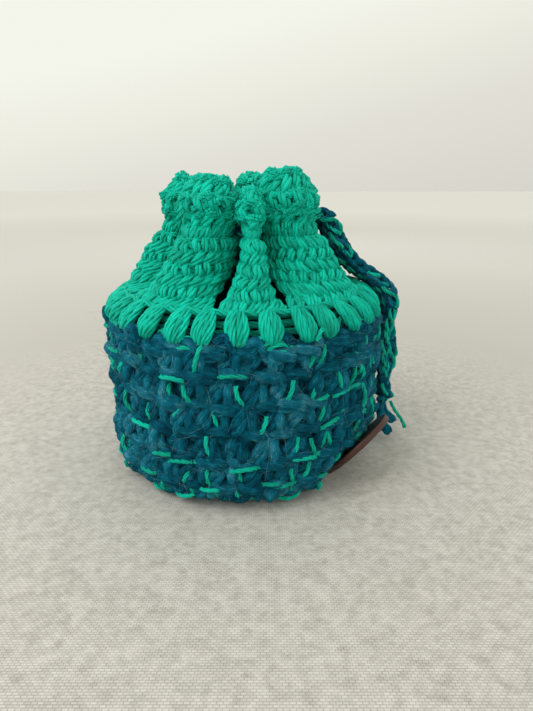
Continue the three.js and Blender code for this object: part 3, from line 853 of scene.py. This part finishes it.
def cotton_stitches(pleat, evenly, low, high, rows, roll, loose, width=COTTON_WIDTH, face=1):
    """Rows of single crochet on a pleat, between two heights. roll moves them outwards."""
    count = max(4, round(np.mean(evenly[2][2:-8]) / width))
    thick = 1 + 0.5 * (width / COTTON_WIDTH - 1)
    groups = []
    for row in range(rows):
        for shape, plump in ((COTTON_LEG, 1.08), (COTTON_BAR, 0.85)):
            shape = np.array(shape) * [1 - 2 * (row % 2), 1, 1]
            sway = rng.normal(0, loose, (count, 3))
            start = 0.5 + 0.5 * (row % 2 - 0.5)
            along = np.arange(count)[:, None] + start + shape[:, 0] + 0.07 * sway[:, :1]
            level = (row + shape[:, 1] + 0.06 * sway[:, 1:2]) / rows
            level = np.broadcast_to(level, along.shape)
            step = along / count
            height = low + (high(step) - low) * level
            depth = shape[:, 2] if face > 0 else -1.6 - shape[:, 2]
            proud = np.broadcast_to(depth + 0.12 * sway[:, 2:], along.shape) + roll(step, level)
            points = pleat_point(pleat, evenly, step, height, proud)
            keep = (along.mean(axis=1) > -0.2) & (along.mean(axis=1) < count + 0.2)
            girth = thick * plump * LEG_GIRTH * rng.uniform(0.94, 1.06, (keep.sum(), 1))
            groups.append((smooth(points[keep], 7), girth, rng.random(keep.sum())))
        across = np.linspace(0, 1, 4 * count)
        core_height = low + (high(across) - low) * (row + 0.5) / rows
        core_level = np.full(len(across), (row + 0.5) / rows)
        core = pleat_point(pleat, evenly, across, core_height, -1.9 + roll(across, core_level))
        # The core behind each row gets the lowest tone, 0.05, which darkens it: painted shade
        # between the stitches
        groups.append((core[None], 1.35, [0.05]))
    return groups


def flat(step, level):
    return np.zeros_like(step)


POSTS = 12
RUFFLE_WIDTH, RUFFLE_LOBE, RUFFLE_OVERLAP = 4.3, 9.5, 1.8
MOUTH_ROW = 28  # the row of an even_shares table that is level with the ruffle
LOOP_RADIUS, LOOP_HEIGHT = 11.5, 73.5
for number, pleat in enumerate(PLEATS, 1):
    evenly = even_shares(pleat)
    collar_rows = cotton_stitches(pleat, evenly, COLLAR_BASE - 0.3, lambda step: NECK_BASE,
                                  COLLAR_ROWS, flat, 1.0)
    collar = spun(f"collar_fabric_{number}", collar_rows, COTTON, green_cotton)
    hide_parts(f"collar_pleat_{number}")

    # Tall eyelet stitches: two strands each, with a slight cross
    post = (np.arange(POSTS)[:, None] + 0.5) / POSTS
    levels = np.linspace(-0.12, 1.12, 6)[None]
    strands = []
    for side in (-0.018, 0.018):
        step = post + side * (1.4 - 1.2 * levels)
        bow = -2.6 + 1.5 * np.sin(np.pi * np.clip(levels, 0, 1))
        height = np.broadcast_to(NECK_BASE + (NECK_TOP - NECK_BASE) * levels, step.shape)
        points = pleat_point(pleat, evenly, step, height, np.broadcast_to(bow, step.shape))
        strands.append((smooth(points, 9), 1.1, rng.random(POSTS)))
    posts = spun(f"eyelet_stitches_{number}", strands, COTTON, green_cotton)
    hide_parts(f"eyelet_posts_{number}")

    lobes = max(2, round(evenly[2][MOUTH_ROW] / RUFFLE_LOBE))

    def puffed(step, lobes=lobes):
        return np.abs(np.sin(np.pi * lobes * np.clip(step, 0, 1))) ** 0.7

    def edge(step, top=pleat["top"], puffed=puffed):
        inside = np.clip(step, 0, 1)
        return top - 3.6 + 1.4 * puffed(step) + 0.9 * np.sin(np.pi * inside)

    def rolled(step, level, puffed=puffed):
        swell = np.sin(np.pi * np.clip(0.15 + 0.8 * level, 0, 1))
        return -2.6 + (1.6 + 1.6 * puffed(step)) * swell

    base_of_ruffle = NECK_TOP - RUFFLE_OVERLAP
    ruffle_lines = cotton_stitches(pleat, evenly, base_of_ruffle, edge, RUFFLE_ROWS, rolled, 1.5,
                                   RUFFLE_WIDTH)
    ruffle_lines += cotton_stitches(pleat, evenly, base_of_ruffle, edge, RUFFLE_ROWS, rolled, 2.2,
                                    RUFFLE_WIDTH, -1)
    across = np.linspace(0, 1, 80)
    rim = pleat_point(pleat, evenly, across, edge(across) + 0.6 + 0.3 * np.sin(across * 120),
                      rolled(across, np.ones(80)) - 0.8 + 0.4 * np.cos(across * 120))
    ruffle_lines.append((rim[None], 1.25, [0.7]))
    ruffle = spun(f"ruffle_fabric_{number}", ruffle_lines, COTTON, green_cotton)
    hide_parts(f"ruffle_{number}")

    middle = math.radians((pleat["from"] + pleat["to"]) / 2)
    away = Vector((math.sin(middle), -math.cos(middle), 0))
    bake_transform(collar)
    for piece in (posts, ruffle):
        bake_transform(piece)

    # The drawstring's loop runs inside the neck, from valley to valley
    azimuth = np.radians(np.linspace(pleat["from"], pleat["to"], 8))
    loop = np.stack([LOOP_RADIUS * np.sin(azimuth), -LOOP_RADIUS * np.cos(azimuth),
                     np.full(8, LOOP_HEIGHT)], -1)
    arc = chain_piece(f"drawstring_loop_{number}", loop, np.array(away))
    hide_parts(f"drawstring_arc_{number}")
    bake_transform(arc)

# ---- Button and its thread ----
# A two-hole coconut-shell button, sewn flat against the foot with green cotton.

HOLE_RADIUS, HOLE_SPACING, EDGE_ROUND = 1.3, 2.6, 0.45


def circle(curve, x, radius, corners):
    spline = curve.splines.new("POLY")
    spline.points.add(corners - 1)
    for index in range(corners):
        angle = 2 * math.pi * index / corners
        spline.points[index].co = ((x + radius * math.cos(angle)) * MM,
                                   radius * math.sin(angle) * MM, 0, 1)
    spline.use_cyclic_u = True


outline = bpy.data.curves.new("button_outline", "CURVE")
outline.dimensions = "2D"
outline.fill_mode = "BOTH"
outline.extrude = (BUTTON_THICKNESS / 2 - EDGE_ROUND) * MM
outline.bevel_depth = EDGE_ROUND * MM
outline.bevel_resolution = 4
circle(outline, 0, BUTTON_RADIUS - EDGE_ROUND, 96)
for side in (-1, 1):
    circle(outline, side * HOLE_SPACING, HOLE_RADIUS + EDGE_ROUND, 28)
shaped = bpy.data.objects.new("button_outline", outline)
bpy.context.scene.collection.objects.link(shaped)
button_mesh = bpy.data.meshes.new_from_object(
    shaped.evaluated_get(bpy.context.evaluated_depsgraph_get()))
bpy.data.objects.remove(shaped)
turn_over = Matrix.Rotation(math.radians(-90), 4, "X")
face_out = Vector((0, 1, 0)).rotation_difference(Vector(button_way)).to_matrix().to_4x4()
put = Matrix.Translation(Vector(button_middle) * MM) @ face_out
button_mesh.transform(put @ turn_over)
button_mesh.name = "shell_button"
button = bpy.data.objects.new("shell_button", button_mesh)
bpy.context.scene.collection.objects.link(button)
button_mesh.shade_smooth()
button_mesh.set_sharp_from_angle(angle=math.radians(40))
coconut, shader = new_material("coconut_shell", Roughness=0.42, Specular_IOR_Level=0.45)
tree = coconut.node_tree
spot = place(tree, "ShaderNodeTexCoord").outputs["Object"]
centred = place(tree, "ShaderNodeVectorMath",
                {0: spot, 1: tuple(button_middle * MM)}, operation="SUBTRACT").outputs[0]
far = place(tree, "ShaderNodeVectorMath", {0: centred}, operation="LENGTH").outputs["Value"]
stretch = place(tree, "ShaderNodeMapping", {"Vector": centred, "Scale": (500, 2600, 900)})
grain = place(tree, "ShaderNodeTexNoise", {"Vector": stretch.outputs[0], "Scale": 1, "Detail": 5})
dark_grain = colour_steps(tree, grain.outputs["Fac"], [
    (0.35, linear(22, 12, 8)), (0.6, linear(46, 24, 14)), (0.75, linear(78, 44, 27)),
])
# The lighter brown ring at the button's edge, 11.5 to 12.5 mm out, is a painted highlight where
# the rim catches the light
painted_rim_light = place(tree, "ShaderNodeMapRange", {0: far, 1: 0.0115, 2: 0.0125})
rim_highlight_mix = place(tree, "ShaderNodeMix", {0: painted_rim_light.outputs[0], 6: dark_grain,
                                       7: linear(64, 32, 20)}, data_type="RGBA")
tree.links.new(rim_highlight_mix.outputs[2], shader.inputs["Base Color"])
pores = place(tree, "ShaderNodeBump", {"Height": grain.outputs["Fac"], "Strength": 0.5,
                                       "Distance": 0.0002})
tree.links.new(pores.outputs["Normal"], shader.inputs["Normal"])
button_mesh.materials.clear()
button_mesh.materials.append(coconut)
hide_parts("button")
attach(button, "button")

stitch = smooth([[-2.6, -1.5, 0], [-2.6, 0.9, 0], [-1.6, 1.5, 0], [1.6, 1.5, 0], [2.6, 0.9, 0],
                 [2.6, -1.5, 0]], 20)
passes = np.stack([stitch + [0, 0.1 * (1 - abs(aside)), 0.62 * aside] for aside in (-1, 0, 1)])
turned = np.array(face_out.to_3x3())
passes = passes @ turned.T + button_middle
thread = spun("sewing_thread", [(passes, 0.8, rng.random(3))], THIN_COTTON, green_cotton)
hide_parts("button_thread")
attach(thread, "button")
